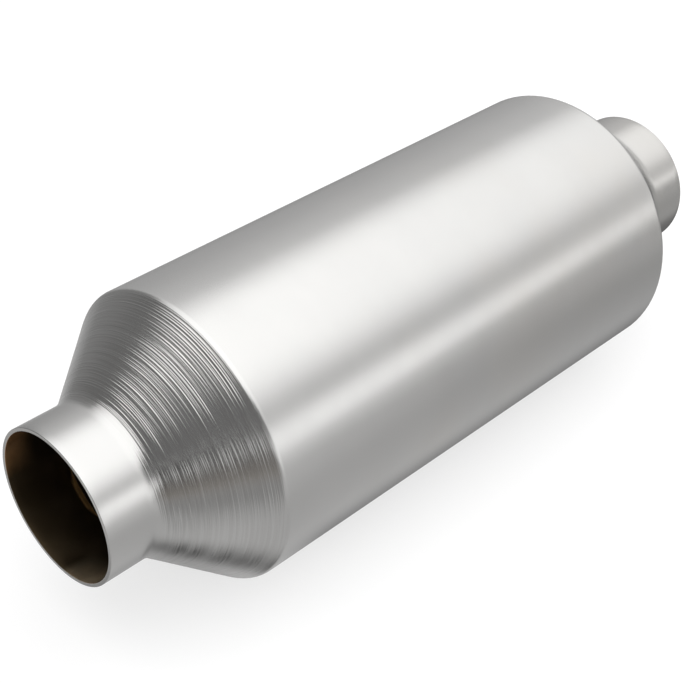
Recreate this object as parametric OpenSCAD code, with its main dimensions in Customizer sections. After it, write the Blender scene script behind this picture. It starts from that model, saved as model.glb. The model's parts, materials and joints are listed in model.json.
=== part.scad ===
// Catalytic converter with a spun body.
// One stainless tube is spun down at both ends into a cone and a neck. Inside it, two ceramic
// honeycomb bricks stand in line, each wrapped in a fibre mat, with a knitted wire seal at each
// edge of the mat. The pipe axis is X, gas enters at -X, and the origin is the middle of the part.

/* [Shell] */
// Outside diameter of the body tube
body_od = 127; // [100:1:160]
// Thickness of the sheet
wall = 1.6; // [1:0.1:2.4]
// Inside diameter of each neck, which slips over the exhaust pipe
neck_id = 63.5; // [45:0.5:75]
// Length of each neck, to where its side would meet the side of the cone
neck_len = 23.6; // [15:0.1:50]
// Length of each cone along the axis, between the same two corners
cone_len = 35.5; // [25:0.1:60]
// Outside radius of the bend between cone and body
shoulder_r = 3.4; // [2.6:0.1:8]
// Outside radius of the bend between neck and cone
root_r = 11.3; // [4:0.1:20]
// Edge break on both corners of the rim
rim_break = 0.25; // [0.1:0.05:0.4]

/* [Roller tracks] */
// Distance from one spinning track to the next, along the slope of the cone
track_pitch = 1.5; // [0.8:0.05:3]
// Depth of the deepest track
track_depth = 0.12; // [0.05:0.01:0.3]

/* [Bricks] */
// Length of each ceramic brick
brick_len = 101.6; // [60:0.1:130]
// Free space between the two bricks
brick_gap = 19; // [8:0.5:40]
// Distance from the end of the straight body to the face of a brick
brick_setback = 7.6; // [4:0.1:30]
// Thickness of the solid skin round a brick
skin = 1.2; // [0.8:0.1:3]
// Distance from one channel to the next
cell_pitch = 4.5; // [4:0.1:8]
// Width of the square channels
cell_w = 3.7; // [2:0.1:3.8]

/* [Mats and seals] */
// Thickness of the mat once it is squeezed between brick and shell
mat_t = 2.7; // [2.2:0.1:6]
// Distance from the face of a brick to the near edge of its wire seal
seal_inset = 1.2; // [0.5:0.1:4]
// Width of a wire seal along the axis
seal_w = 5; // [3:0.1:10]
// Radius on the corners of a wire seal's section
seal_r = 0.8; // [0.3:0.1:1]
// Length of the tongue where the ends of a mat interlock, round the brick
tongue_len = 30; // [15:1:50]
// Width of that tongue along the axis
tongue_w = 30; // [15:1:40]
// Gap left between the interlocked ends
seam_gap = 1; // [0.5:0.1:2]

/* [Hidden] */
$fn = 96;
bend_steps = 6;      // straight steps in each bend of the sheet
corner_steps = 4;    // straight steps in each corner of a seal
track_spread = 0.3;  // share of the depth by which the tracks differ
track_turn = 137;    // angle that puts neighbouring tracks at unlike depths
overrun = 1;         // how far a cut runs past the faces that it cuts

body_r = body_od / 2;
neck_r = neck_id / 2 + wall;
bore_r = body_r - wall;
brick_r = bore_r - mat_t;
body_len = 2 * (brick_len + brick_setback) + brick_gap;
half_len = neck_len + cone_len + body_len / 2;
cone_angle = atan2(body_r - neck_r, cone_len);
brick_mid = (brick_gap + brick_len) / 2;
mat_len = brick_len - 2 * (seal_inset + seal_w);

steel = [0.66, 0.66, 0.65];
ceramic = [0.52, 0.40, 0.27];
fibre = [0.83, 0.80, 0.72];
wire = [0.50, 0.49, 0.47];

// Points are [radius, distance along the axis from the rim].

// A bend whose centre lies outside the tube, from the neck (angle 0) to the cone.
function root_bend(corner, r) =
    let (t = r * tan(cone_angle / 2))
    [for (i = [0:bend_steps])
        let (a = cone_angle * i / bend_steps)
        [corner[0] + r * (1 - cos(a)), corner[1] - t + r * sin(a)]];

// A bend whose centre lies inside the tube, from the cone to the body (angle 0).
function shoulder_bend(corner, r) =
    let (t = r * tan(cone_angle / 2))
    [for (i = [0:bend_steps])
        let (a = cone_angle * (1 - i / bend_steps))
        [corner[0] - r * (1 - cos(a)), corner[1] + t - r * sin(a)]];

// Depth of the track at step k: it varies a little from turn to turn.
function track(k) = track_depth * (1 - track_spread + track_spread * sin(k * track_turn));

// The shallow grooves that the roller leaves between two points of the cone's side.
// Every second step is the bottom of a track.
function tracks(from, to) =
    let (
        steps = 2 * floor(norm(to - from) / track_pitch),
        along = (to - from) / norm(to - from),
        inward = [-along[1], along[0]]
    )
    [for (k = [1:steps - 1])
        from + (to - from) * k / steps + inward * (k % 2) * track(k)];

// One side of the sheet, offset inwards by depth, from the rim to the middle of the body.
function sheet_side(depth) =
    let (
        shift = depth * tan(cone_angle / 2),
        root = root_bend([neck_r - depth, neck_len + shift], root_r + depth),
        shoulder = shoulder_bend([body_r - depth, neck_len + cone_len + shift], shoulder_r - depth)
    )
    concat(
        [[neck_r - depth, rim_break]],
        root,
        depth > 0 ? [] : tracks(root[bend_steps], shoulder[0]),
        shoulder
    );

// The same side carried on to the other rim.
function mirrored(side) =
    concat(side, [for (i = [len(side) - 1:-1:0]) [side[i][0], 2 * half_len - side[i][1]]]);

// The rim's face, which is narrower than the sheet by the edge break on each corner.
function rim_face(z) = [[neck_r - rim_break, z], [neck_r - wall + rim_break, z]];

function backwards(points) = [for (i = [len(points) - 1:-1:0]) points[i]];

// Turns a profile round the pipe axis, with its zero distance at x.
module revolve(x) {
    translate([x, 0, 0])
        rotate([0, 90, 0])
            rotate_extrude()
                children();
}

// Body, cones and necks: one tube, spun to shape.
module spun_shell() {
    color(steel)
        revolve(-half_len)
            polygon(concat(
                mirrored(sheet_side(0)),
                rim_face(2 * half_len),
                backwards(mirrored(sheet_side(wall))),
                backwards(rim_face(0))
            ));
}

// Centres of the square channels that lie wholly inside the skin.
function cells() =
    let (
        n = ceil(brick_r / cell_pitch),
        reach = brick_r - skin,
        h = cell_w / 2
    )
    [for (i = [-n:n], j = [-n:n])
        let (x = i * cell_pitch, y = j * cell_pitch)
        if (norm([abs(x) + h, abs(y) + h]) <= reach) [x, y]];

// An extruded ceramic honeycomb, centred at x.
module brick(x) {
    color(ceramic)
        translate([x - brick_len / 2, 0, 0])
            rotate([0, 90, 0])
                linear_extrude(height = brick_len)
                    difference() {
                        circle(r = brick_r);
                        for (c = cells())
                            translate(c)
                                square(cell_w, center = true);
                    }
}

// Outline of the slot between the two ends of a mat, which steps round the tongue.
// Points are [distance along the axis, distance round the brick].
function seam_outline() =
    let (
        h = seam_gap / 2,
        root = -tongue_len / 2,
        tip = tongue_len / 2,
        side = tongue_w / 2,
        edge = mat_len / 2 + overrun
    )
    [
        [-edge, root - h], [-edge, root + h],
        [-side - h, root + h], [-side - h, tip + h],
        [side + h, tip + h], [side + h, root + h],
        [edge, root + h], [edge, root - h],
        [side - h, root - h], [side - h, tip - h],
        [h - side, tip - h], [h - side, root - h]
    ];

// A fibre mat wrapped once round a brick, centred at x. Its ends interlock at the side.
module mat(x) {
    color(fibre)
        translate([x, 0, 0])
            difference() {
                rotate([0, 90, 0])
                    difference() {
                        cylinder(r = bore_r, h = mat_len, center = true);
                        cylinder(r = brick_r, h = mat_len + 2 * overrun, center = true);
                    }
                rotate([90, 0, 0])
                    linear_extrude(height = bore_r + overrun)
                        polygon(seam_outline());
            }
}

// The section of a wire seal: it fills the gap between brick and shell, with round corners.
// Points are [radius, distance along the axis from the seal's middle].
function seal_section() =
    let (
        middle = (brick_r + bore_r) / 2,
        reach = [mat_t / 2 - seal_r, seal_w / 2 - seal_r],
        corners = [[1, 1], [-1, 1], [-1, -1], [1, -1]]
    )
    [for (k = [0:3], i = [0:corner_steps])
        let (a = 90 * (k + i / corner_steps))
        [
            middle + corners[k][0] * reach[0] + seal_r * cos(a),
            corners[k][1] * reach[1] + seal_r * sin(a)
        ]];

// A ring of knitted wire that keeps the gas off the edge of a mat, centred at x.
module seal(x) {
    color(wire)
        revolve(x)
            polygon(seal_section());
}

// Distance from the middle of a brick to the middle of each of its seals.
seal_at = brick_len / 2 - seal_inset - seal_w / 2;

spun_shell();
brick(-brick_mid);  // inlet_brick
brick(brick_mid);  // outlet_brick
mat(-brick_mid);  // inlet_mat
mat(brick_mid);  // outlet_mat
seal(-brick_mid - seal_at);  // inlet_brick_front_seal
seal(-brick_mid + seal_at);  // inlet_brick_rear_seal
seal(brick_mid - seal_at);  // outlet_brick_front_seal
seal(brick_mid + seal_at);  // outlet_brick_rear_seal
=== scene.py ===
"""The looks of a spun catalytic converter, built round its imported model.

Lengths are in metres. The pipe axis is X, the inlet end is at -X, and the origin is the part's middle.
"""
import json
import math

import bpy
import numpy as np
from mathutils import Matrix, Vector


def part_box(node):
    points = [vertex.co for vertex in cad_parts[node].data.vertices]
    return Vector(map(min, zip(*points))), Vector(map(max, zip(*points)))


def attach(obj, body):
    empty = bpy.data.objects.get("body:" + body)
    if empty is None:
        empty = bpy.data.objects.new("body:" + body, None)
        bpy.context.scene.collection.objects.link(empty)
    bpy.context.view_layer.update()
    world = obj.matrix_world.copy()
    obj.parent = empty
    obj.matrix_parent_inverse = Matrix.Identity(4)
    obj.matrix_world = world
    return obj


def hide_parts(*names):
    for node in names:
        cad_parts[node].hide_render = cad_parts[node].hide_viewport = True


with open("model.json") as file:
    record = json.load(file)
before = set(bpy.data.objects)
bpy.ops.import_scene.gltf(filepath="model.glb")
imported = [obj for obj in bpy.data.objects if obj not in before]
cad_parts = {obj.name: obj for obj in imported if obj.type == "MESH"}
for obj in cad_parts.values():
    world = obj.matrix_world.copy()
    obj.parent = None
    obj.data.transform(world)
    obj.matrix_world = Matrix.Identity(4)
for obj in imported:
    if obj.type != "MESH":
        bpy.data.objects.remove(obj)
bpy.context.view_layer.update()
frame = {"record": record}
record = frame["record"]

MM = 0.001

# Sizes of the part
HALF_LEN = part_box("spun_shell")[1].x
BODY_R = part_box("spun_shell")[1].z
NECK_BORE_R = record["mounts"][0]["dims"]["r_mm"] * MM
BORE_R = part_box("inlet_brick_front_seal")[1].z
WALL = BODY_R - BORE_R
NECK_R = NECK_BORE_R + WALL
NECK_LEN = 23.6 * MM
CONE_LEN = 35.5 * MM
SHOULDER_R = 3.4 * MM
ROOT_R = 11.3 * MM
RIM_R = 0.25 * MM
MAT_T = 2.7 * MM
BRICK_R = BORE_R - MAT_T
CONE_ANGLE = math.atan2(BODY_R - NECK_R, CONE_LEN)
FLOOR_Z = -BODY_R

# Tracks on the cones: pitch, width, height, share of the pitch that they wander, seed
TRACKS = (
    (1.48 * MM, 0.165 * MM, 0.040 * MM, 0.30, 11),
    (0.97 * MM, 0.140 * MM, 0.049 * MM, 0.35, 37),
    (0.66 * MM, 0.115 * MM, 0.039 * MM, 0.35, 23),
)
# How often a track wanders to the turn, and how many turns more than the cone holds are laid at each end
TRACK_WANDERS = 3
SPARE_TURNS = 2
# A track's steady height, and how it changes along it: changes to the turn, and share of the height
TRACK_STEADY = 0.58
TRACK_CHANGES = ((5, 0.25), (20, 0.62))
# Each cone's side with the turn of its tracks, and how far before the cone their count starts
CONES = ((-1, 0.0), (1, 2.1))
TRACK_START = 4 * MM
# Where the tracks fade, at the shoulder and at the root: how far beyond the cone, and over what length, as
# shares of FADE_LEN
FADE_LEN = 3.2 * MM
SHOULDER_FADE = (0.1, 0.6)
ROOT_FADE = (1.3, 1.6)

# The shell's grid: points round it, the step between rows on the outside of the cones and on the inside,
# points of neck and body, the fewest of a bend, points of a rim's corner, and steps of the cone inside
AROUND = 92
TRACK_STEP = 0.11 * MM
BORE_STEP = 10 * TRACK_STEP
NECK_POINTS = 7
BODY_POINTS = 9
BEND_POINTS = 8
CORNER_POINTS = 5
BORE_CONE_STEPS = 4
PHI = 2 * np.pi * np.arange(AROUND) / AROUND
# Rows at each rim that are bare steel, and the share of the map that the outside takes up
RIM_ROWS = 8
OUTSIDE_MAP = 0.7

# Honeycomb: 400 channels to the square inch
CELL_PITCH = 1.27 * MM
CHANNEL_W = 1.10 * MM
BRICK_SKIN = 0.8 * MM
# A brick's map: size and middle of an end, length and start of the side, the side's borders, and the small
# squares of the channels' walls, with their number to a row, lower border and the part of a cell they fill
END_MAP_SIZE = 0.49
END_MAP_MIDDLE = 0.25
SIDE_MAP_LEN = 0.98
SIDE_MAP_START = 0.005
SIDE_MAP_LOW, SIDE_MAP_HIGH = 0.51, 0.66
WALLS_TO_A_ROW = 256
WALL_MAP_LOW = 0.68
TILE_LOW, TILE_HIGH = 0.15, 0.85

# Seam of a mat
TONGUE_LEN = 30 * MM
TONGUE_W = 30 * MM
SEAM_GAP = 1 * MM
FELT_STEP = 1.6 * MM
FELT_EDGE = 0.35 * MM
# Tufts on a mat's faces: height, and two noises by weight of the length in mm and of the turn, rate, seed
TUFT = 0.09 * MM
TUFT_NOISES = ((1, 31, 0.45, 5), (-0.3, 41, 0.9, 6))

# Knitted wire
WIRE_R = 0.14 * MM
STITCH_LEN = 2.8 * MM
COURSES = 7
STITCH_STEPS = 12
WIRE_SIDES = 3
# A loop's swing across the rows, in rows, its lean along them, in radians of phase, and how unevenly it lies
LOOP_SWING = 0.62
LOOP_LEAN = 0.85
LOOP_UNEVEN = 0.004
# In wire radii: the rows' inset from the seal's outline, a loop's middle depth and dip, and the core's inset
ROW_INSET = 1.2
LOOP_DEPTH = 1.6
LOOP_DIP = 1.5
CORE_INSET = 3.2
# The core's grid, how uneven it is, and how often that changes, to the radian and to the point across
CORE_AROUND, CORE_ACROSS = 180, 20
CORE_UNEVEN = 0.04
CORE_CHANGES = (40, 17)


# Meshes

# The corners of a square, anticlockwise
SQUARE = (-1, -1), (1, -1), (1, 1), (-1, 1)


def new_object(name, points, faces, materials, smooth=True, face_material=None, bake_map=None, values=None):
    """An object at the origin from an (n, 3) array of points and an (m, 4) array of corner numbers.
    Points that no face uses are dropped. bake_map holds (m, 4, 2) places on the map named OFBake, and
    values a named number for each point."""
    used, faces = np.unique(faces, return_inverse=True)
    faces = np.ascontiguousarray(faces.reshape(-1, 4), dtype=np.int32)
    points = np.ascontiguousarray(points.reshape(-1, 3)[used], dtype=np.float32)
    mesh = bpy.data.meshes.new(name)
    mesh.vertices.add(len(points))
    mesh.vertices.foreach_set("co", points.ravel())
    mesh.loops.add(faces.size)
    mesh.loops.foreach_set("vertex_index", faces.ravel())
    mesh.polygons.add(len(faces))
    mesh.polygons.foreach_set("loop_start", np.arange(len(faces), dtype=np.int32) * 4)
    mesh.polygons.foreach_set("use_smooth", np.broadcast_to(smooth, len(faces)).astype(bool))
    for material in materials:
        mesh.materials.append(material)
    if face_material is not None:
        mesh.polygons.foreach_set("material_index", np.ascontiguousarray(face_material, dtype=np.int32))
    if bake_map is not None:
        layer = mesh.uv_layers.new(name="OFBake")
        layer.uv.foreach_set("vector", np.ascontiguousarray(bake_map, dtype=np.float32).ravel())
    for key, value in (values or {}).items():
        attribute = mesh.attributes.new(key, "FLOAT", "POINT")
        attribute.data.foreach_set("value", np.ascontiguousarray(value.ravel()[used], dtype=np.float32))
    mesh.update(calc_edges=True)
    mesh.validate()
    thing = bpy.data.objects.new(name, mesh)
    bpy.context.scene.collection.objects.link(thing)
    return thing


def turned(x, r, angle):
    """Points at x along the pipe's axis and r from it, at an angle from +Y towards +Z."""
    return np.stack(np.broadcast_arrays(x, r * np.cos(angle), r * np.sin(angle)), -1)


def grid_faces(rows, columns, close_rows, close_columns):
    """Corner numbers of the quads between neighbouring points of a rows by columns grid."""
    i = np.arange(rows if close_rows else rows - 1)[:, None]
    j = np.arange(columns if close_columns else columns - 1)[None, :]
    i2, j2 = (i + 1) % rows, (j + 1) % columns
    corners = [i * columns + j, i * columns + j2, i2 * columns + j2, i2 * columns + j]
    return np.stack([np.broadcast_to(c, (i.size, j.size)) for c in corners], -1).reshape(-1, 4)


def grid_map(row_at, column_at):
    """Map places of the corners of a grid's quads, in the order of grid_faces, from the place of each row
    and column border."""
    u0, u1 = column_at[None, :-1], column_at[None, 1:]
    v0, v1 = row_at[:-1, None], row_at[1:, None]
    shape = (row_at.size - 1, column_at.size - 1)
    corners = [(u0, v0), (u1, v0), (u1, v1), (u0, v1)]
    return np.stack([np.stack([np.broadcast_to(c, shape) for c in corner], -1) for corner in corners],
                    2).reshape(-1, 4, 2)


def tiles(count, columns, low, high):
    """Map places of count small squares that fill a part of the picture row by row."""
    low, high = np.array(low), np.array(high)
    rows = math.ceil(count / columns)
    n = np.arange(count)
    cell = np.stack([n % columns, n // columns], 1)[:, None, :]
    corner = np.where(np.array(SQUARE) < 0, TILE_LOW, TILE_HIGH)[None]
    return low + (high - low) * (cell + corner) / [columns, rows]


def edges_between(cells, beyond):
    """Rows (i, j, i2, j2) of the corners at both ends of each cell edge that has a cell on its left and
    something beyond on its right. beyond has a border of one more cell on every side."""
    step_start_stop = (
        ((0, -1), (0, 0), (1, 0)),
        ((1, 0), (1, 0), (1, 1)),
        ((0, 1), (1, 1), (0, 1)),
        ((-1, 0), (0, 1), (0, 0)),
    )
    found = []
    for (di, dj), start, stop in step_start_stop:
        other = beyond[1 + di:1 + di + cells.shape[0], 1 + dj:1 + dj + cells.shape[1]]
        i, j = np.nonzero(cells & other)
        found.append(np.stack([i + start[0], j + start[1], i + stop[0], j + stop[1]], 1))
    return np.concatenate(found)


def cell_corners(cells, columns, wrap=False):
    """Corner numbers of the quads at the cells, anticlockwise with rows to the right and columns up."""
    i, j = np.nonzero(cells)
    j2 = (j + 1) % columns if wrap else j + 1
    return np.stack([i * columns + j, (i + 1) * columns + j, (i + 1) * columns + j2, i * columns + j2], 1)


def smooth_noise(t, per_unit, seed, period=4096):
    """Values between -1 and 1 that follow t smoothly: a seeded draw at each step, joined by cosines."""
    draw = np.random.RandomState(seed).uniform(-1, 1, period)
    at = t * per_unit
    low = np.floor(at).astype(int)
    blend = 0.5 - 0.5 * np.cos(np.pi * (at - low))
    return draw[low % period] * (1 - blend) + draw[(low + 1) % period] * blend


# The spun shell

def arc(centre, radius, start, stop, steps):
    """Points (x, r) on a circle round centre, from angle start to stop, measured from +x towards +r."""
    a = np.linspace(start, stop, steps)
    return np.stack([centre[0] + radius * np.cos(a), centre[1] + radius * np.sin(a)], 1)


def half_side(depth):
    """Points (x, r) along one half of the sheet's side at a depth under the outer skin, from the rim
    to the middle. A straight neck, the root's arc, the straight cone and the shoulder's arc follow each
    other tangentially. The points of root, cone and shoulder are close on the outside, to carry tracks."""
    half = math.tan(CONE_ANGLE / 2)
    shift = depth * half
    root_r, shoulder_r = ROOT_R + depth, SHOULDER_R - depth
    root = np.array([-HALF_LEN + NECK_LEN + shift, NECK_R - depth])
    shoulder = np.array([-HALF_LEN + NECK_LEN + CONE_LEN + shift, BODY_R - depth])
    step = TRACK_STEP if depth == 0 else BORE_STEP
    root_points = max(BEND_POINTS, round(root_r * CONE_ANGLE / step))
    shoulder_points = max(BEND_POINTS, round(shoulder_r * CONE_ANGLE / step))
    root_arc = arc((root[0] - root_r * half, root[1] + root_r), root_r,
                   -np.pi / 2, -np.pi / 2 + CONE_ANGLE, root_points)
    shoulder_arc = arc((shoulder[0] + shoulder_r * half, shoulder[1] - shoulder_r), shoulder_r,
                       np.pi / 2 + CONE_ANGLE, np.pi / 2, shoulder_points)
    slope = np.linalg.norm(shoulder_arc[0] - root_arc[-1])
    cone_steps = round(slope / step) if depth == 0 else BORE_CONE_STEPS
    along = np.linspace(0, 1, cone_steps + 1)[1:-1, None]
    cone = root_arc[-1] + (shoulder_arc[0] - root_arc[-1]) * along
    neck_x = np.linspace(-HALF_LEN + RIM_R, root_arc[0, 0], NECK_POINTS)[1:-1]
    neck = np.stack([neck_x, np.full(neck_x.size, NECK_R - depth)], 1)
    body_x = np.linspace(shoulder_arc[-1, 0], 0, BODY_POINTS)[1:]
    body = np.stack([body_x, np.full(body_x.size, BODY_R - depth)], 1)
    return np.concatenate([neck, root_arc, cone, shoulder_arc, body])


def mirrored(side):
    """A half side followed by its mirror image, without doubling the middle point."""
    return np.concatenate([side, side[-2::-1] * [-1, 1]])


def shell_section():
    """The closed section of the sheet as points (x, r), outside first, and how many lie outside.
    Each rim is a flat face between two quarter arcs."""
    outer = mirrored(half_side(0))
    inner = mirrored(half_side(WALL))[::-1]
    corner_x = HALF_LEN - RIM_R
    outside_corner = arc((corner_x, NECK_R - RIM_R), RIM_R, np.pi / 2, 0, CORNER_POINTS)
    inside_corner = arc((corner_x, NECK_BORE_R + RIM_R), RIM_R, 0, -np.pi / 2, CORNER_POINTS)
    far_rim = np.concatenate([outside_corner, inside_corner])
    near_rim = far_rim[::-1] * [-1, 1]
    return np.concatenate([outer, far_rim, inner, near_rim]), len(outer)


def tracks(distance, phi):
    """Height of the roller's marks at a distance along the cone and an angle phi round it. Spirals of
    rounded ridges, coarse to fine, whose place and height wander smoothly from turn to turn."""
    height = np.zeros(np.broadcast(distance, phi).shape)
    around = phi / (2 * np.pi)
    for pitch, width, tall, wander, seed in TRACKS:
        last = int(distance.max() / pitch) + SPARE_TURNS
        for k in range(-SPARE_TURNS, last):
            turn = k + around
            place = pitch * (turn + wander * smooth_noise(turn, TRACK_WANDERS, seed))
            tallness = tall * TRACK_STEADY
            for change, (per_turn, share) in enumerate(TRACK_CHANGES):
                tallness = tallness + tall * share * smooth_noise(turn, per_turn, seed + 1 + change)
            height += tallness * np.exp(-0.5 * ((distance - place) / width) ** 2)
    return height


def spun_shell(materials):
    """The sheet's section turned round the X axis. On the cones the outer skin is moved along its normal
    by the height of the tracks, which fade out in the root bend and the shoulder."""
    section, outside = shell_section()
    x, r = section[:, 0:1], section[:, 1:2]
    step = np.roll(section, -1, 0) - np.roll(section, 1, 0)
    normal = np.stack([-step[:, 1], step[:, 0]], 1)
    normal /= np.linalg.norm(normal, axis=1, keepdims=True)
    body_half = HALF_LEN - NECK_LEN - CONE_LEN
    slope = (np.abs(x) - body_half) / math.cos(CONE_ANGLE)
    cone_slope = CONE_LEN / math.cos(CONE_ANGLE)
    fade_in = np.clip((slope + SHOULDER_FADE[0] * FADE_LEN) / (SHOULDER_FADE[1] * FADE_LEN), 0, 1)
    fade_out = np.clip((cone_slope + ROOT_FADE[0] * FADE_LEN - slope) / (ROOT_FADE[1] * FADE_LEN), 0, 1)
    fade = (fade_in * fade_out) ** 2
    fade[outside:] = 0
    worked = np.repeat(fade, AROUND, 1)
    height = np.zeros((len(section), AROUND))
    for side, turn in CONES:
        on_side = (fade[:, 0] > 0) & (np.sign(x[:, 0]) == side)
        distance = cone_slope - slope[on_side] + TRACK_START
        height[on_side] = tracks(distance, PHI[None, :] + turn) * fade[on_side]
    points = turned(x + normal[:, 0:1] * height, r + normal[:, 1:2] * height, PHI)
    faces = grid_faces(len(section), AROUND, True, True)
    ring = np.arange(len(section)).repeat(AROUND)
    bore = (ring >= outside + RIM_ROWS) & (ring < len(section) - RIM_ROWS)
    travel = np.append(0, np.cumsum(np.linalg.norm(np.roll(section, -1, 0) - section, axis=1)))
    at = np.interp(travel, [0, travel[outside], travel[-1]], [0, OUTSIDE_MAP, 1])
    bake_map = grid_map(at, np.linspace(0, 1, AROUND + 1))
    return new_object("converter_shell", points, faces, materials, face_material=bore, bake_map=bake_map,
                      values={"worked": worked})


# The ceramic bricks

def honeycomb(name, box, materials):
    """A ceramic cylinder with square channels from end to end. Lines across Y and Z part its end into
    cells, and each second cell is a channel. The cells that fit inside the skin are kept, and their
    stepped border is joined to its projection from the axis onto the round outside."""
    low, high = box
    inner_r = BRICK_R - BRICK_SKIN
    across = 2 * int(inner_r / CELL_PITCH) + 1
    centre = (np.arange(across) - (across - 1) / 2) * CELL_PITCH
    line = np.stack([centre - CHANNEL_W / 2, centre + CHANNEL_W / 2], 1).ravel()
    n = line.size
    fits = np.hypot(line[:, None], line[None, :]) < inner_r
    inside = fits[:-1, :-1] & fits[1:, :-1] & fits[:-1, 1:] & fits[1:, 1:]
    channel_line = np.arange(n - 1) % 2 == 0
    channel = inside & channel_line[:, None] & channel_line[None, :]
    solid = inside & ~channel
    lattice = np.stack(np.broadcast_arrays(line[:, None], line[None, :]), -1).reshape(-1, 2)

    border = edges_between(inside, np.pad(~inside, 1, constant_values=True))
    p, q = border[:, 0] * n + border[:, 1], border[:, 2] * n + border[:, 3]
    on_border, index = np.unique(np.concatenate([p, q]), return_inverse=True)
    round_points = lattice[on_border]
    round_points = round_points * (BRICK_R / np.hypot(*round_points.T))[:, None]
    p2, q2 = n * n + index[:p.size], n * n + index[p.size:]
    end = np.concatenate([lattice, round_points])

    walls = edges_between(channel, np.ones((n + 1, n + 1), bool))
    a, b = walls[:, 2] * n + walls[:, 3], walls[:, 0] * n + walls[:, 1]
    rear = len(end)
    face = np.concatenate([cell_corners(solid, n), np.stack([p2, q2, q, p], 1)])
    faces = np.concatenate([
        face[:, ::-1], face + rear,
        np.stack([p2, q2, q2 + rear, p2 + rear], 1),
        np.stack([a, b, b + rear, a + rear], 1),
    ])
    points = np.concatenate([np.insert(end, 0, x, axis=1) for x in (low.x, high.x)])

    # The ends as pictures of themselves, the side unrolled without a jump inside a face, the walls as tiles
    picture = end[face] / (2 * BRICK_R) * END_MAP_SIZE + END_MAP_MIDDLE
    turn = np.arctan2(*end[[p2, q2]].reshape(2, -1, 2).T[::-1]).T / (2 * np.pi) % 1
    turn[1] = np.where(turn[1] - turn[0] > 0.5, turn[1] - 1, turn[1])
    turn[1] = np.where(turn[0] - turn[1] > 0.5, turn[1] + 1, turn[1])
    turn = turn * SIDE_MAP_LEN + SIDE_MAP_START
    side_corners = (0, SIDE_MAP_LOW), (1, SIDE_MAP_LOW), (1, SIDE_MAP_HIGH), (0, SIDE_MAP_HIGH)
    side = np.stack([np.stack([turn[k], np.full(len(p), v)], 1) for k, v in side_corners], 1)
    bake_map = np.concatenate([
        picture[:, ::-1], picture + [2 * END_MAP_MIDDLE, 0], side,
        tiles(len(a), WALLS_TO_A_ROW, (0, WALL_MAP_LOW), (1, 1)),
    ])
    return new_object(name, points, faces, materials, smooth=False, bake_map=bake_map)


# The fibre mats

def lines_through(stops, step):
    """Numbers that pass every stop, no further apart than step."""
    parts = [np.linspace(a, b, math.ceil((b - a) / step), endpoint=False) for a, b in zip(stops, stops[1:])]
    return np.concatenate(parts + [stops[-1:]])


def wound_mat(name, box, materials):
    """A felt sheet wound once round a brick. Its two ends meet in a slot that steps round a tongue, on
    the -Y side. Lines along X and round the axis part it into cells, the slot's cells are left out, and
    every free edge is softened and both faces are uneven by less than the thickness of a fibre tuft."""
    low, high = box
    middle_r = BRICK_R + MAT_T / 2
    half, side, gap = (high.x - low.x) / 2, TONGUE_W / 2, SEAM_GAP / 2
    root, tip = -TONGUE_LEN / 2, TONGUE_LEN / 2
    along_stops = np.array([-half, -side - gap, -side + gap, side - gap, side + gap, half])
    round_stops = np.array([root - gap, root + gap, tip - gap, tip + gap, 2 * np.pi * middle_r + root - gap])
    along = lines_through(along_stops, FELT_STEP)
    around = lines_through(round_stops, FELT_STEP)[:-1]
    rows, columns = along.size, around.size
    x = np.abs((along[:-1] + along[1:]) / 2)[:, None]
    s = ((around + np.append(around[1:], round_stops[-1])) / 2)[None, :]
    arms = (x > side - gap) & (s > root - gap) & (s < root + gap)
    flanks = (x > side - gap) & (x < side + gap) & (s > root - gap) & (s < tip + gap)
    end = (x < side + gap) & (s > tip - gap) & (s < tip + gap)
    felt = ~(arms | flanks | end)

    empty = np.pad(~felt, ((1, 1), (0, 0)), constant_values=True)
    edge = edges_between(felt, np.pad(empty, ((0, 0), (1, 1)), mode="wrap"))
    p, q = edge[:, 0] * columns + edge[:, 1] % columns, edge[:, 2] * columns + edge[:, 3] % columns
    free = np.zeros(rows * columns)
    free[p] = 1
    free = free.reshape(rows, columns)
    turn = (around / middle_r)[None, :]
    tuft = 0.5
    for lengthwise, roundwise, rate, seed in TUFT_NOISES:
        tuft = tuft + 0.25 * smooth_noise(along[:, None] / MM * lengthwise + roundwise * turn, rate, seed)
    drop = FELT_EDGE * free + TUFT * tuft
    x = (low.x + high.x) / 2 + along[:, None]
    layers = [turned(x, r, turn).reshape(-1, 3) * [1, -1, 1] for r in (BORE_R - drop, BRICK_R + drop)]
    inner = rows * columns
    sheet = cell_corners(felt, columns, wrap=True)
    faces = np.concatenate([sheet, sheet[:, ::-1] + inner, np.stack([p + inner, q + inner, q, p], 1)])
    return new_object(name, np.concatenate(layers), faces, materials)


# The knitted wire seals

def seal_outline(t):
    """The point (x, r) on a seal's section at a share t of its outline, and the way out of it there. The
    outline is an ellipse of the fourth power, which lies inside the seal's rounded rectangle."""
    angle = 2 * np.pi * t
    c, s = np.cos(angle), np.sin(angle)
    size = (c ** 4 + s ** 4) ** -0.25
    return np.stack([c * size, s * size], -1), np.stack([c, s], -1)


def ring_map(band, around, across, margin):
    """Map places of the faces of a ring in one band of a seal's picture, with a margin on each side."""
    at = (band + np.linspace(margin, 1 - margin, across + 1)) / (COURSES + 1)
    return grid_map(np.linspace(0, 1, around + 1), at)[..., ::-1]


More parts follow.
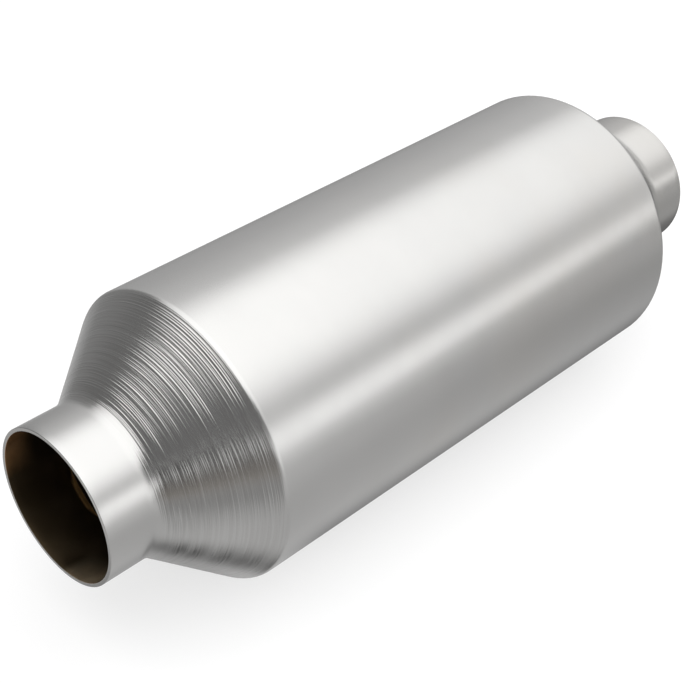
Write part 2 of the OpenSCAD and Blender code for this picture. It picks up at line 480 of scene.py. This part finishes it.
def knitted_seal(name, box, materials):
    """Rows of wire loops laid on a ring of closed section. Along a row the wire goes round the ring, swings
    across to the neighbouring rows with the cosine of its phase and leans over by the sine of twice it,
    and dips under the row before it with the cosine of twice it."""
    low, high = box
    middle = np.array([(low.x + high.x) / 2, (BORE_R + BRICK_R) / 2])
    reach = np.array([(high.x - low.x) / 2, (BORE_R - BRICK_R) / 2]) - ROW_INSET * WIRE_R
    stitches = round(2 * np.pi * middle[1] / STITCH_LEN)
    steps = stitches * STITCH_STEPS
    phase = 2 * np.pi * np.arange(steps) / STITCH_STEPS
    row = np.arange(COURSES)[:, None]
    uneven = LOOP_UNEVEN * smooth_noise(phase, 0.3, 7)
    across = (row + 0.5 + LOOP_SWING * np.cos(phase + np.pi * row)) / COURSES + uneven
    turn = (phase + LOOP_LEAN * np.sin(2 * phase)) / stitches
    depth = WIRE_R * (LOOP_DEPTH - LOOP_DIP * np.cos(2 * phase))
    outline, out = seal_outline(across)
    path = middle + (reach - depth[:, None]) * outline
    centre = turned(path[..., 0], path[..., 1], turn)
    ahead = np.roll(centre, -1, 1) - np.roll(centre, 1, 1)
    ahead /= np.linalg.norm(ahead, axis=-1, keepdims=True)
    up = turned(out[..., 0], out[..., 1], turn)
    up -= ahead * np.sum(up * ahead, -1, keepdims=True)
    up /= np.linalg.norm(up, axis=-1, keepdims=True)
    beside = np.cross(ahead, up)
    corners = 2 * np.pi * np.arange(WIRE_SIDES) / WIRE_SIDES
    lines = [centre + WIRE_R * (np.cos(a) * up + np.sin(a) * beside) for a in corners]
    wire = np.stack(lines, 2).reshape(-1, 3)
    one = grid_faces(steps, WIRE_SIDES, True, True)
    faces = [one + k * steps * WIRE_SIDES for k in range(COURSES)]
    maps = [ring_map(k, steps, WIRE_SIDES, 0.1) for k in range(COURSES)]

    t = np.arange(CORE_ACROSS) / CORE_ACROSS
    angle = 2 * np.pi * np.arange(CORE_AROUND)[:, None] / CORE_AROUND
    changes = angle * CORE_CHANGES[0] + CORE_CHANGES[1] * t[None, :] * CORE_ACROSS
    uneven = 1 + CORE_UNEVEN * smooth_noise(changes, 1.0, 8)[..., None]
    core = middle + (reach - CORE_INSET * WIRE_R) * seal_outline(t)[0][None] * uneven
    core = turned(core[..., 0], core[..., 1], angle).reshape(-1, 3)
    faces.append(grid_faces(CORE_AROUND, CORE_ACROSS, True, True) + len(wire))
    maps.append(ring_map(COURSES, CORE_AROUND, CORE_ACROSS, 0.05))
    slot = np.concatenate([np.full(len(f), k == COURSES) for k, f in enumerate(faces)])
    return new_object(name, np.concatenate([wire, core]), np.concatenate(faces), materials,
                      face_material=slot, bake_map=np.concatenate(maps))


# Shader helpers

ALONG_X, ALONG_Y, ALONG_Z = (1, 0, 0), (0, 1, 0), (0, 0, 1)


def feed(tree, socket, value):
    """Links a socket to an input, or sets the input to a number, a vector or a colour (r, g, b)."""
    if isinstance(value, bpy.types.NodeSocket):
        tree.links.new(value, socket)
    else:
        socket.default_value = (*value, 1) if socket.type == "RGBA" else value


def add(tree, kind, **values):
    """A node of that kind. Each value feeds the input of that name, or sets an attribute if none has it."""
    node = tree.nodes.new(kind)
    for key, value in values.items():
        if key in node.inputs:
            feed(tree, node.inputs[key], value)
        else:
            setattr(node, key, value)
    return node


def new_group(name, inputs, outputs):
    """A shader node group with the given sockets. Returns it, what it is given and what it gives."""
    group = bpy.data.node_groups.new(name, "ShaderNodeTree")
    for key, value in inputs.items():
        socket = group.interface.new_socket(
            key, in_out="INPUT", socket_type="NodeSocketVector" if value is None else "NodeSocketFloat")
        if value is not None:
            socket.default_value = value
    for key in outputs:
        group.interface.new_socket(key, in_out="OUTPUT", socket_type="NodeSocketFloat")
    return group, group.nodes.new("NodeGroupInput").outputs, group.nodes.new("NodeGroupOutput").inputs


def math_node(tree, operation, a, b):
    """The socket of a Math node. a and b are sockets or numbers."""
    node = add(tree, "ShaderNodeMath", operation=operation)
    feed(tree, node.inputs[0], a)
    feed(tree, node.inputs[1], b)
    return node.outputs[0]


def vector_math(tree, operation, *vectors):
    """The outputs of a Vector Math node. The vectors are sockets or (x, y, z)."""
    node = add(tree, "ShaderNodeVectorMath", operation=operation)
    for vector, socket in zip(vectors, node.inputs):
        feed(tree, socket, vector)
    return node.outputs


def remap(tree, value, from_low, from_high, low, high, shape="SMOOTHSTEP"):
    """The socket of a value that goes from low to high as the given one goes between the first two."""
    limits = {"From Min": from_low, "From Max": from_high, "To Min": low, "To Max": high}
    node = add(tree, "ShaderNodeMapRange", interpolation_type=shape, Value=value, **limits)
    return node.outputs["Result"]


def ramp(tree, source, axis, start, stop, low, high):
    """A value that goes smoothly from low to high as the distance along axis goes from start to stop."""
    return remap(tree, vector_math(tree, "DOT_PRODUCT", source, axis)["Value"], start, stop, low, high)


def times(tree, *factors):
    """The product of sockets, numbers and ramps. A ramp is (source, axis, start, stop, low, high)."""
    factors = [ramp(tree, *factor) if isinstance(factor, tuple) else factor for factor in factors]
    result = factors[0]
    for factor in factors[1:]:
        result = math_node(tree, "MULTIPLY", result, factor)
    return result


def mix(tree, mask, low, high):
    """A colour between two, as sockets or (r, g, b), by a mask."""
    node = add(tree, "ShaderNodeMix", data_type="RGBA", Factor=mask)
    feed(tree, node.inputs[6], low)
    feed(tree, node.inputs[7], high)
    return node.outputs[2]


def mixed(tree, factor, low, high):
    """A number that is low where factor is 0 and high where it is 1."""
    return remap(tree, factor, 0, 1, low, high, "LINEAR")


def turned_grain():
    """Fine lines round the X axis, as a tool leaves on turned or spun sheet. Lines is their number to the
    metre, and Change how often they change to the metre round the piece."""
    group, given, result = new_group(
        "turned_grain", {"Vector": None, "Lines": 1500.0, "Change": 14.0}, ["Height"])
    stretch = add(group, "ShaderNodeCombineXYZ", X=given["Lines"], Y=given["Change"], Z=given["Change"])
    scaled = vector_math(group, "MULTIPLY", given["Vector"], stretch.outputs[0])["Vector"]
    noise = add(group, "ShaderNodeTexNoise", Vector=scaled, Scale=1.0, Detail=1.0, Roughness=0.5)
    feed(group, result["Height"], noise.outputs["Fac"])
    return group


def cloudy_mask():
    """Soft patches from 0 to 1. Scale is their number to the metre, Share the part of the surface. The
    noise lies round 0.5 and hardly leaves 0.25 to 0.75, so the share sets a level between those."""
    group, given, result = new_group(
        "cloudy_mask", {"Vector": None, "Scale": 20.0, "Share": 0.5, "Softness": 0.2}, ["Mask"])
    noise = add(group, "ShaderNodeTexNoise", Vector=given["Vector"], Scale=given["Scale"],
                Detail=4.0, Roughness=0.55)
    level = math_node(group, "SUBTRACT", 0.75, times(group, given["Share"], 0.5))
    start = math_node(group, "SUBTRACT", level, given["Softness"])
    stop = math_node(group, "ADD", level, given["Softness"])
    feed(group, result["Mask"], remap(group, noise.outputs["Fac"], start, stop, 0, 1))
    return group


def fine_fibres():
    """Short crossed strands from 0 to 1, thin in one direction and long in the other. Scale is the number
    of strands to the metre."""
    group, given, result = new_group("fine_fibres", {"Vector": None, "Scale": 2500.0}, ["Height"])
    layers = []
    for rotation, shift in ((0.5, 0.7, 0.2), 3.1), ((-0.6, 0.1, 1.2), 7.7), ((1.1, -0.9, -0.4), 12.9):
        laid = add(group, "ShaderNodeMapping", Vector=given["Vector"], Rotation=rotation,
                   Scale=(1, 0.12, 0.35), Location=(shift,) * 3)
        noise = add(group, "ShaderNodeTexNoise", Vector=laid.outputs[0], Scale=given["Scale"], Detail=1.0)
        layers.append(noise.outputs["Fac"])
    most = math_node(group, "MAXIMUM", math_node(group, "MAXIMUM", layers[0], layers[1]), layers[2])
    feed(group, result["Height"], remap(group, most, 0.5, 0.75, 0, 1))
    return group


GROUPS = {"grain": turned_grain(), "clouds": cloudy_mask(), "fibres": fine_fibres()}


def use(tree, group, **values):
    """The first output of a group on Object coordinates, with the given values on its inputs."""
    where = add(tree, "ShaderNodeTexCoord").outputs["Object"]
    return add(tree, "ShaderNodeGroup", node_tree=GROUPS[group], Vector=where, **values).outputs[0]


def named_value(tree, name):
    """The number of that name at the mesh's points."""
    return add(tree, "ShaderNodeAttribute", attribute_name=name).outputs["Fac"]


def bump(tree, shader, height, depth, below=None):
    """A Bump node of the given depth in metres on the shader's normal, over the one below."""
    node = add(tree, "ShaderNodeBump", Distance=depth, Height=height)
    if below is not None:
        tree.links.new(below.outputs[0], node.inputs["Normal"])
    tree.links.new(node.outputs[0], shader.inputs["Normal"])
    return node


def new_material(name, roughness=0.5, metallic=0.0):
    """A material with its node tree and its Principled shader."""
    material = bpy.data.materials.new(name)
    material.use_nodes = True
    tree = material.node_tree
    shader = tree.nodes["Principled BSDF"]
    shader.inputs["Roughness"].default_value = roughness
    shader.inputs["Metallic"].default_value = metallic
    return material, tree, shader


# Materials

# Steel: its two greys, a warm haze, the dark of a groove, the middle range of the grain's noise, the
# roughness over that range, and how much smoother the worked cones are
STEEL_GREYS = (0.447, 0.444, 0.437), (0.462, 0.458, 0.450)
STEEL_HAZE = (0.455, 0.436, 0.408)
STEEL_GROOVE = (0.33, 0.32, 0.31)
GRAIN_RANGE = (0.35, 0.65)
STEEL_ROUGHNESS = (0.255, 0.267)
BURNISHED = 0.040


def satin_steel():
    """Clean spun stainless sheet: satin with faint turned grain, burnished by the roller on the cones."""
    material, tree, shader = new_material("satin_spun_steel", metallic=1.0)
    worked = named_value(tree, "worked")
    fine = use(tree, "grain", Lines=1100.0, Change=16.0)
    broad = use(tree, "grain", Lines=170.0, Change=7.0)
    clouds = use(tree, "clouds", Scale=26.0, Share=0.5, Softness=0.22)
    haze = use(tree, "clouds", Scale=9.0, Share=0.3, Softness=0.12)
    grooves = times(tree, remap(tree, fine, *GRAIN_RANGE, 0.20, 0), worked)
    colour = mix(tree, clouds, *STEEL_GREYS)
    colour = mix(tree, times(tree, haze, 0.35), colour, STEEL_HAZE)
    colour = mix(tree, grooves, colour, STEEL_GROOVE)
    tree.links.new(colour, shader.inputs["Base Color"])
    rough = remap(tree, broad, *GRAIN_RANGE, *STEEL_ROUGHNESS)
    rough = math_node(tree, "SUBTRACT", rough, times(tree, worked, BURNISHED))
    tree.links.new(rough, shader.inputs["Roughness"])
    first = bump(tree, shader, times(tree, fine, worked), 0.005 * MM)
    bump(tree, shader, use(tree, "grain", Lines=480.0, Change=18.0), 0.00015 * MM, first)
    return material


# Bore: the two browns of its heat stain, and the colours of its patches, three of them painted light
BORE_BROWNS = (0.060, 0.045, 0.028), (0.095, 0.070, 0.040)
PAINTED_BEND_HIGHLIGHT = (0.90, 0.66, 0.34)
MOUTH_BROWN = (0.100, 0.073, 0.042)
PAINTED_BOUNCE_LIGHT = (0.76, 0.62, 0.43)
PAINTED_STRAW_LIGHT = (0.75, 0.43, 0.20)
SOOT = (0.045, 0.036, 0.026)
# A place in the root bend, and the ways across that the patches face
BEND_X = HALF_LEN - NECK_LEN - 3.5 * MM
BEND_WAY = (0, 0.69, -0.72)
BOUNCE_LIGHT_WAY = (0, -0.42, -0.91)
STRAW_LIGHT_WAY = (0, 0.91, 0.41)


def burnt_bore():
    """The inside of the sheet: brown heat stain over the bare steel, a painted golden highlight in each root
    bend, lighter mouths with painted pale bounce light low in them and painted straw-coloured light high
    on the +Y side, and a thin dull soot."""
    material, tree, shader = new_material("heat_stained_bore", metallic=1.0)
    stain = use(tree, "clouds", Scale=30.0, Share=0.5, Softness=0.3)
    soot = use(tree, "clouds", Scale=75.0, Share=0.35, Softness=0.25)
    where = add(tree, "ShaderNodeTexCoord").outputs["Object"]
    from_middle = vector_math(tree, "ABSOLUTE", where)["Vector"]

    def along(start, stop, low=0, high=1):
        """A ramp by the distance from the part's middle along the pipe, for times."""
        return from_middle, ALONG_X, start, stop, low, high

    def across(way, start, stop):
        """A ramp from 0 to 1 by the distance from the axis that way, in bore radii, for times."""
        return where, way, start * NECK_BORE_R, stop * NECK_BORE_R, 0, 1

    # Painted highlight: a golden crescent of light in each root bend
    bend = times(tree, along(BEND_X + 1.9 * MM, BEND_X + 3.0 * MM, 1, 0),
                 along(BEND_X - 1.4 * MM, BEND_X - 0.1 * MM), across(BEND_WAY, 1.005, 1.040))
    mouth = times(tree, along(HALF_LEN - 20 * MM, HALF_LEN - 1 * MM))
    # Painted bounce light: pale, low in the mouths
    painted_bounce = times(tree, across(BOUNCE_LIGHT_WAY, 0.88, 1.0), along(HALF_LEN - 17 * MM, HALF_LEN - 3 * MM))
    # Painted light: straw-coloured, high in the mouths on the +Y side
    straw = times(tree, across(STRAW_LIGHT_WAY, 0.81, 1.02), along(HALF_LEN - 14 * MM, HALF_LEN - 3 * MM))
    colour = mix(tree, stain, *BORE_BROWNS)
    for mask, tint in (bend, PAINTED_BEND_HIGHLIGHT), (mouth, MOUTH_BROWN), (painted_bounce, PAINTED_BOUNCE_LIGHT), (straw, PAINTED_STRAW_LIGHT):
        colour = mix(tree, mask, colour, tint)
    colour = mix(tree, times(tree, soot, 0.35), colour, SOOT)
    tree.links.new(colour, shader.inputs["Base Color"])
    tree.links.new(remap(tree, soot, 0, 1, 0.38, 0.52), shader.inputs["Roughness"])
    bump(tree, shader, use(tree, "grain", Lines=900.0, Change=18.0), 0.004 * MM)
    return material


CERAMIC_TANS = (0.42, 0.335, 0.225), (0.33, 0.25, 0.16)
CERAMIC_SPECK = (0.15, 0.11, 0.07)


def washcoat():
    """Porous ceramic under a pale tan washcoat, browner in patches, with dark specks."""
    material, tree, shader = new_material("washcoated_ceramic")
    patch = use(tree, "clouds", Scale=60.0, Share=0.5, Softness=0.25)
    specks = use(tree, "clouds", Scale=1400.0, Share=0.22, Softness=0.08)
    colour = mix(tree, patch, *CERAMIC_TANS)
    colour = mix(tree, times(tree, specks, 0.45), colour, CERAMIC_SPECK)
    tree.links.new(colour, shader.inputs["Base Color"])
    tree.links.new(remap(tree, specks, 0, 1, 0.82, 0.95), shader.inputs["Roughness"])
    bump(tree, shader, use(tree, "clouds", Scale=3200.0, Share=0.5, Softness=0.3), 0.02 * MM)
    return material


FELT_WHITES = (0.50, 0.46, 0.37), (0.72, 0.69, 0.61)
FELT_BROWN = (0.40, 0.34, 0.25)
FELT_FLAKE = (0.33, 0.22, 0.09)


def felt():
    """Pressed ceramic fibre: off-white strands, grey-brown in patches, with golden mineral flakes."""
    material, tree, shader = new_material("fibre_felt", roughness=1.0)
    strands = use(tree, "fibres", Scale=2200.0)
    patch = use(tree, "clouds", Scale=70.0, Share=0.45, Softness=0.3)
    flakes = use(tree, "clouds", Scale=900.0, Share=0.20, Softness=0.05)
    colour = mix(tree, strands, *FELT_WHITES)
    colour = mix(tree, times(tree, patch, 0.4), colour, FELT_BROWN)
    colour = mix(tree, flakes, colour, FELT_FLAKE)
    tree.links.new(colour, shader.inputs["Base Color"])
    shader.inputs["Sheen Weight"].default_value = 0.25
    bump(tree, shader, strands, 0.12 * MM)
    return material


def wire(name, light, dark, roughness):
    """Drawn wire, heat-stained straw in patches, rougher there, with a fine uneven skin."""
    material, tree, shader = new_material(name, metallic=1.0)
    stain = use(tree, "clouds", Scale=120.0, Share=0.4, Softness=0.3)
    tree.links.new(mix(tree, stain, light, dark), shader.inputs["Base Color"])
    tree.links.new(remap(tree, stain, 0, 1, roughness, roughness + 0.12), shader.inputs["Roughness"])
    bump(tree, shader, use(tree, "clouds", Scale=4000.0, Share=0.5, Softness=0.3), 0.01 * MM)
    return material


steel, bore = satin_steel(), burnt_bore()
ceramic, fibre = washcoat(), felt()
strand = wire("seal_wire", (0.46, 0.45, 0.43), (0.38, 0.33, 0.26), 0.30)
bundle = wire("seal_wire_core", (0.16, 0.155, 0.145), (0.12, 0.105, 0.085), 0.55)


def stand_for(piece, node):
    """Puts a piece in the place of a node of the model, on its one body."""
    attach(piece, "root")
    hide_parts(node)


stand_for(spun_shell([steel, bore]), "spun_shell")
for place_name in "inlet", "outlet":
    node = place_name + "_brick"
    stand_for(honeycomb(place_name + "_honeycomb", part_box(node), [ceramic]), node)
    node = place_name + "_mat"
    stand_for(wound_mat(place_name + "_felt_mat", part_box(node), [fibre]), node)
    for end_name in "front", "rear":
        node = f"{place_name}_brick_{end_name}_seal"
        stand_for(knitted_seal(f"{place_name}_{end_name}_wire_ring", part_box(node), [strand, bundle]),
                  node)


# Studio. Near is the inlet end, in front is before it, and right is -Y, as the camera sees the part.

def glow(name, strength, colour=None, cover=None):
    """A material that shines. Strength is a number or, like colour and cover, a function that adds nodes
    and returns a socket. Where cover is 0 the material can't be seen."""
    material = bpy.data.materials.new(name)
    material.use_nodes = True
    tree = material.node_tree
    tree.nodes.clear()
    emission = add(tree, "ShaderNodeEmission", Strength=strength(tree) if callable(strength) else strength)
    if colour is not None:
        feed(tree, emission.inputs["Color"], colour(tree))
    surface = emission.outputs[0]
    if cover is not None:
        blend = add(tree, "ShaderNodeMixShader")
        clear = add(tree, "ShaderNodeBsdfTransparent").outputs[0]
        for value, socket in zip((cover(tree), clear, surface), blend.inputs):
            tree.links.new(value, socket)
        surface = blend.outputs[0]
    add(tree, "ShaderNodeOutputMaterial", Surface=surface)
    return material


def place(tree):
    """Where the surface is in the scene."""
    return add(tree, "ShaderNodeNewGeometry").outputs["Position"]


def quad(name, corners, material):
    """A flat face with four corners."""
    return new_object(name, np.array(corners, float), np.array([[0, 1, 2, 3]]), [material], smooth=False)


def stage_only(thing, shows):
    """Makes a card or a light of the studio seen only by the rays that shows names."""
    thing.visible_camera = "camera" in shows
    thing.visible_diffuse = "diffuse" in shows
    thing.visible_glossy = "glossy" in shows
    thing.visible_transmission = "glossy" in shows
    thing.visible_shadow = "shadow" in shows


# The overhead softbox

KEY_HEIGHT = 1.0
KEY_X = (-0.95, 2.3)
KEY_Y = (-2.4, 1.1)


def key_strength(tree):
    """Brighter towards the near end, with soft borders at the near end and on both sides."""
    at = place(tree)
    return times(
        tree,
        (at, ALONG_X, 0.0, 1.6, 2.28, 1.68),
        (at, ALONG_X, KEY_X[0], KEY_X[0] + 0.25, 0.8, 1),
        (at, ALONG_Y, -1.95, -0.50, 0.46, 1),
        (at, ALONG_Y, 0.25, KEY_Y[1], 1, 0.44),
    )


stage_only(quad(
    "key_softbox",
    [(KEY_X[0], KEY_Y[0], KEY_HEIGHT), (KEY_X[0], KEY_Y[1], KEY_HEIGHT),
     (KEY_X[1], KEY_Y[1], KEY_HEIGHT), (KEY_X[1], KEY_Y[0], KEY_HEIGHT)],
    glow("key_glow", key_strength)), ("diffuse", "glossy", "shadow"))


# A low strip light along the right. Its brightness also changes along three slanting directions.

STRIP_X = (-2.2, 3.4)
STRIP_Y = -1.3
STRIP_Z = (-0.05, 0.50)
STRIP_RISE = (-0.10, 0, 1)
STRIP_LEAN = (-0.35, 0, 1)
STRIP_FALL = (0.5, 0, 1)


def strip_strength(tree):
    """Weaker and narrower towards the far end, dim far in front of the part, and fading at the top."""
    at = place(tree)
    raised = math_node(tree, "MAXIMUM", ramp(tree, at, ALONG_Z, 0.02, 0.12, 0.25, 1),
                       ramp(tree, at, ALONG_X, -0.8, -0.2, 0, 1))
    return times(
        tree,
        raised,
        (at, ALONG_X, 0.3, 1.7, 2.05, 1.52),
        (at, ALONG_X, -0.9, 0.2, 0.70, 1),
        (at, ALONG_X, -1.65, -1.15, 0.06, 1),
        (at, STRIP_RISE, -0.13, 0.0, 0.35, 1),
        (at, STRIP_LEAN, -0.20, -0.08, 1.14, 1),
        (at, STRIP_FALL, 0.25, 0.42, 0.84, 1),
        (at, ALONG_Z, 0.32, 0.48, 1, 0.55),
    )


stage_only(quad(
    "strip_light",
    [(STRIP_X[0], STRIP_Y, STRIP_Z[0]), (STRIP_X[0], STRIP_Y, STRIP_Z[1]),
     (STRIP_X[1], STRIP_Y, STRIP_Z[1]), (STRIP_X[1], STRIP_Y, STRIP_Z[0])],
    glow("strip_glow", strip_strength)), ("diffuse", "glossy"))


# Cards that only the metal's reflections see. Two curved grey ones stand round the near end.

CARD_R = 0.45
CARD_GREY = 0.247
CARD_BRIGHTER = 1.4
CARD_BRIGHTER_X = (-0.30, -0.17)
CARD_BOTTOM = FLOOR_Z + 0.5 * MM
CARD_ROWS, CARD_COLUMNS = 8, 40
# Azimuths in degrees from +X towards +Y: where each card starts and stops, and the top's with its heights
FRONT_CARD_AT = (97, 205)
RIGHT_CARD_AT = (205, 250)
RIGHT_CARD_BOTTOM = 0.105
TOP_AT = (97, 115, 135, 172, 205, 250)
TOP_HEIGHT = (0.46, 0.408, 0.372, 0.408, 0.335, 0.32)


def curved_card_strength(tree):
    """Darker in front of the near end than on both sides of it."""
    return times(tree, (place(tree), ALONG_X, *CARD_BRIGHTER_X, CARD_GREY, CARD_BRIGHTER * CARD_GREY))


def curved_card(name, azimuths, bottom):
    """A patch of a cylinder round the Z axis, from the bottom height to a top that varies round it."""
    degrees = np.linspace(*azimuths, CARD_COLUMNS)[None, :]
    up = np.linspace(0, 1, CARD_ROWS)[:, None]
    height = bottom + (np.interp(degrees, TOP_AT, TOP_HEIGHT) - bottom) * up
    turn = np.radians(degrees)
    points = np.stack(np.broadcast_arrays(CARD_R * np.cos(turn), CARD_R * np.sin(turn), height), -1)
    faces = grid_faces(CARD_ROWS, CARD_COLUMNS, False, False)
    stage_only(new_object(name, points, faces, [glow(name, curved_card_strength)]), ("glossy",))


curved_card("front_card", FRONT_CARD_AT, CARD_BOTTOM)
curved_card("right_card", RIGHT_CARD_AT, RIGHT_CARD_BOTTOM)

# One stands along the left side, behind the part

BACK_X = (-0.2, 1.6)
BACK_Y = 0.45
BACK_TOP = 0.42


def back_strength(tree):
    """Brighter towards the top, and darker beside the near end."""
    return times(
        tree,
        (place(tree), ALONG_Z, FLOOR_Z, BACK_TOP, 0.53, 0.90),
        (place(tree), ALONG_X, -0.10, 0.05, 0.7, 1),
    )


stage_only(quad(
    "back_card",
    [(BACK_X[0], BACK_Y, CARD_BOTTOM), (BACK_X[1], BACK_Y, CARD_BOTTOM),
     (BACK_X[1], BACK_Y, BACK_TOP), (BACK_X[0], BACK_Y, BACK_TOP)],
    glow("back_glow", back_strength)), ("glossy",))


# One lies on the floor, from the strip light to the back card

FLOOR_CARD_X = (-1.6, 3.0)


def floor_card_strength(tree):
    """A grey that changes along and across the part and fades towards the front and the left, with patches
    on it: a painted shadow below the pipe from the body on, painted light to the right of the body, more so
    farther right, and painted light in front of the near mouth, more so farther in front."""
    at = place(tree)
    aside = vector_math(tree, "ABSOLUTE", at)["Vector"]
    # Painted shadow of the pipe on the floor, for the metal's reflections
    under = times(
        tree,
        (aside, ALONG_Y, 0.040, 0.070, 1, 0),
        (at, ALONG_X, -0.117, -0.066, 0, 1),
    )
    # Painted pools of light on the floor to the right of the body
    right = times(
        tree,
        (at, ALONG_Y, -0.65, -0.35, 1, 0),
        (at, ALONG_X, -0.10, 0.05, 0, 1),
        (at, ALONG_X, 0.40, 0.60, 1, 0),
    )
    farther_right = times(
        tree,
        (at, ALONG_Y, -0.95, -0.65, 1, 0),
        (at, ALONG_X, 0.52, 0.82, 1, 0),
        (at, ALONG_X, -0.10, 0.05, 0, 1),
    )
    # Painted pools of light on the floor in front of the near mouth
    front = times(
        tree,
        (at, ALONG_Y, -0.12, -0.07, 0, 1),
        (at, ALONG_Y, 0.04, 0.09, 1, 0.4),
        (at, ALONG_X, -0.25, -0.19, 1, 0),
    )
    farther_front = times(
        tree,
        (at, ALONG_Y, -0.12, -0.06, 0, 1),
        (at, ALONG_X, -0.29, -0.25, 1, 0),
    )
    return times(
        tree,
        mixed(tree, farther_right, 1, 1.35),
        mixed(tree, under, 1, 0.42),
        mixed(tree, right, 1, 1.50),
        mixed(tree, front, 1, 2.15),
        mixed(tree, farther_front, 1, 1.35),
        (at, ALONG_X, 0.45, 0.70, 1, 0.85),
        # Painted shadow right under the pipe
        (aside, ALONG_Y, 0.015, 0.045, 0.68, 1),
        (at, ALONG_X, -0.05, 0.22, 0.66, 0.52),
        (at, ALONG_X, -0.225, -0.160, 0.68, 1.20),
        (at, ALONG_X, -0.160, -0.130, 1, 0.94),
        (at, ALONG_X, -0.42, -0.28, 0.62, 1),
        (at, ALONG_X, -0.95, -0.50, 0.38, 1),
        (at, ALONG_Y, -0.26, -0.15, 1.13, 0.93),
        (at, ALONG_Y, -0.13, -0.07, 1, 1.05),
        (at, ALONG_Y, 0.10, 0.34, 1, 0.60),
    )


def floor_card_colour(tree):
    """White, and slightly warm in front."""
    warm = ramp(tree, place(tree), ALONG_X, -0.26, -0.34, 0, 1)
    return mix(tree, warm, (1, 1, 1), (1, 0.93, 0.86))


stage_only(quad(
    "floor_card",
    [(FLOOR_CARD_X[0], STRIP_Y, CARD_BOTTOM), (FLOOR_CARD_X[1], STRIP_Y, CARD_BOTTOM),
     (FLOOR_CARD_X[1], BACK_Y, CARD_BOTTOM), (FLOOR_CARD_X[0], BACK_Y, CARD_BOTTOM)],
    glow("floor_card_glow", floor_card_strength, floor_card_colour)), ("glossy",))


# A dark strip close to the near cone, low on the right

SHADE_GAP = 8 * MM
# Where it starts and stops round the axis, in degrees from +Y towards +Z
SHADE_AROUND = (202, 242)
SHADE_GREY = 0.12
SHADE_BEYOND = 2 * MM
SHADE_ROWS, SHADE_COLUMNS = 161, 17
# Its streaks: middle, change, changes to the millimetre, seed
SHADE_STREAKS = (0.74, 0.34, 0.8, 3)


def shade_strip():
    """A patch of a cone round the near cone, and a little beyond it at both ends. Its cover fades out
    towards both borders round the axis and changes in streaks along the cone."""
    share = np.linspace(0, 1, SHADE_COLUMNS)[None, :]
    turn = np.radians(SHADE_AROUND[0] + (SHADE_AROUND[1] - SHADE_AROUND[0]) * share)
    root = -HALF_LEN + NECK_LEN
    along = np.linspace(root - SHADE_BEYOND, root + CONE_LEN + SHADE_BEYOND, SHADE_ROWS)[:, None]
    middle, change, rate, seed = SHADE_STREAKS
    streaks = middle + change * smooth_noise(along / MM, rate, seed)
    radius = NECK_R + SHADE_GAP + (along + HALF_LEN - NECK_LEN) * math.tan(CONE_ANGLE)
    material = glow("shade_glow", SHADE_GREY, cover=lambda tree: named_value(tree, "shade"))
    strip = new_object("shade_strip", turned(along, radius, turn),
                       grid_faces(SHADE_ROWS, SHADE_COLUMNS, False, False), [material],
                       values={"shade": np.sin(np.pi * share) ** 2 * streaks})
    stage_only(strip, ("glossy",))


shade_strip()

# Fill lights that reach the bricks through the mouths

FILL_X = 0.9
FILL_HALF = 0.25
FILL_STRENGTH = 4.2
for end in -1, 1:
    stage_only(quad(
        f"mouth_fill_{end + 1}", [(end * FILL_X, y * FILL_HALF, z * FILL_HALF) for y, z in SQUARE],
        glow("fill_glow", FILL_STRENGTH)), ("diffuse",))


# Floor and world, which both look white

FLOOR_HALF = 12.0
FLOOR_ALBEDO = 0.30
# The floor's own glow near the part and far off, and the distances where it changes
FLOOR_GLOW, FAR_GLOW = 0.68, 0.97
FLOOR_NEAR, FLOOR_FAR = 0.5, 2.5
# The world's light on the part
AMBIENT = 0.35


def seen_directly(tree):
    """1 for camera, glossy and transmission rays, and 0 for the others."""
    rays = add(tree, "ShaderNodeLightPath").outputs
    seen = math_node(tree, "MAXIMUM", rays["Is Camera Ray"], rays["Is Glossy Ray"])
    return math_node(tree, "MAXIMUM", seen, rays["Is Transmission Ray"])


def white_floor():
    """Matt, casting little light back, and shining by itself to the rays that see it directly."""
    material, tree, shader = new_material("white_floor", roughness=1.0)
    feed(tree, shader.inputs["Base Color"], (FLOOR_ALBEDO,) * 3)
    feed(tree, shader.inputs["Specular IOR Level"], 0)
    feed(tree, shader.inputs["Emission Color"], (1, 1, 1))
    distance = vector_math(tree, "LENGTH", place(tree))["Value"]
    far_off = remap(tree, distance, FLOOR_NEAR, FLOOR_FAR, FLOOR_GLOW, FAR_GLOW)
    feed(tree, shader.inputs["Emission Strength"], times(tree, seen_directly(tree), far_off))
    floor = quad("studio_floor", [(x * FLOOR_HALF, y * FLOOR_HALF, FLOOR_Z) for x, y in SQUARE], material)


def studio_world():
    """White to the rays that see it directly, and dim to the others."""
    world = bpy.data.worlds.new("studio")
    world.use_nodes = True
    tree = world.node_tree
    background = tree.nodes["Background"]
    feed(tree, background.inputs["Color"], (1, 1, 1))
    feed(tree, background.inputs["Strength"], mixed(tree, seen_directly(tree), AMBIENT, 1.0))
    bpy.context.scene.world = world


white_floor()
studio_world()
bpy.context.scene.view_settings.view_transform = "Standard"

# Camera

LENS = 75.93
SENSOR_W = 36
CAMERA_AT = Vector((-0.38554, -0.35770, 0.35841))
CAMERA_AHEAD = Vector((1, 1, -1)).normalized()
camera_data = bpy.data.cameras.new("main_camera")
camera_data.lens = LENS
camera_data.sensor_width = SENSOR_W
camera = bpy.data.objects.new("main_camera", camera_data)
aimed = CAMERA_AHEAD.to_track_quat("-Z", "Y").to_matrix().to_4x4()
camera.matrix_world = Matrix.Translation(CAMERA_AT) @ aimed
bpy.context.scene.collection.objects.link(camera)
bpy.context.scene.camera = camera
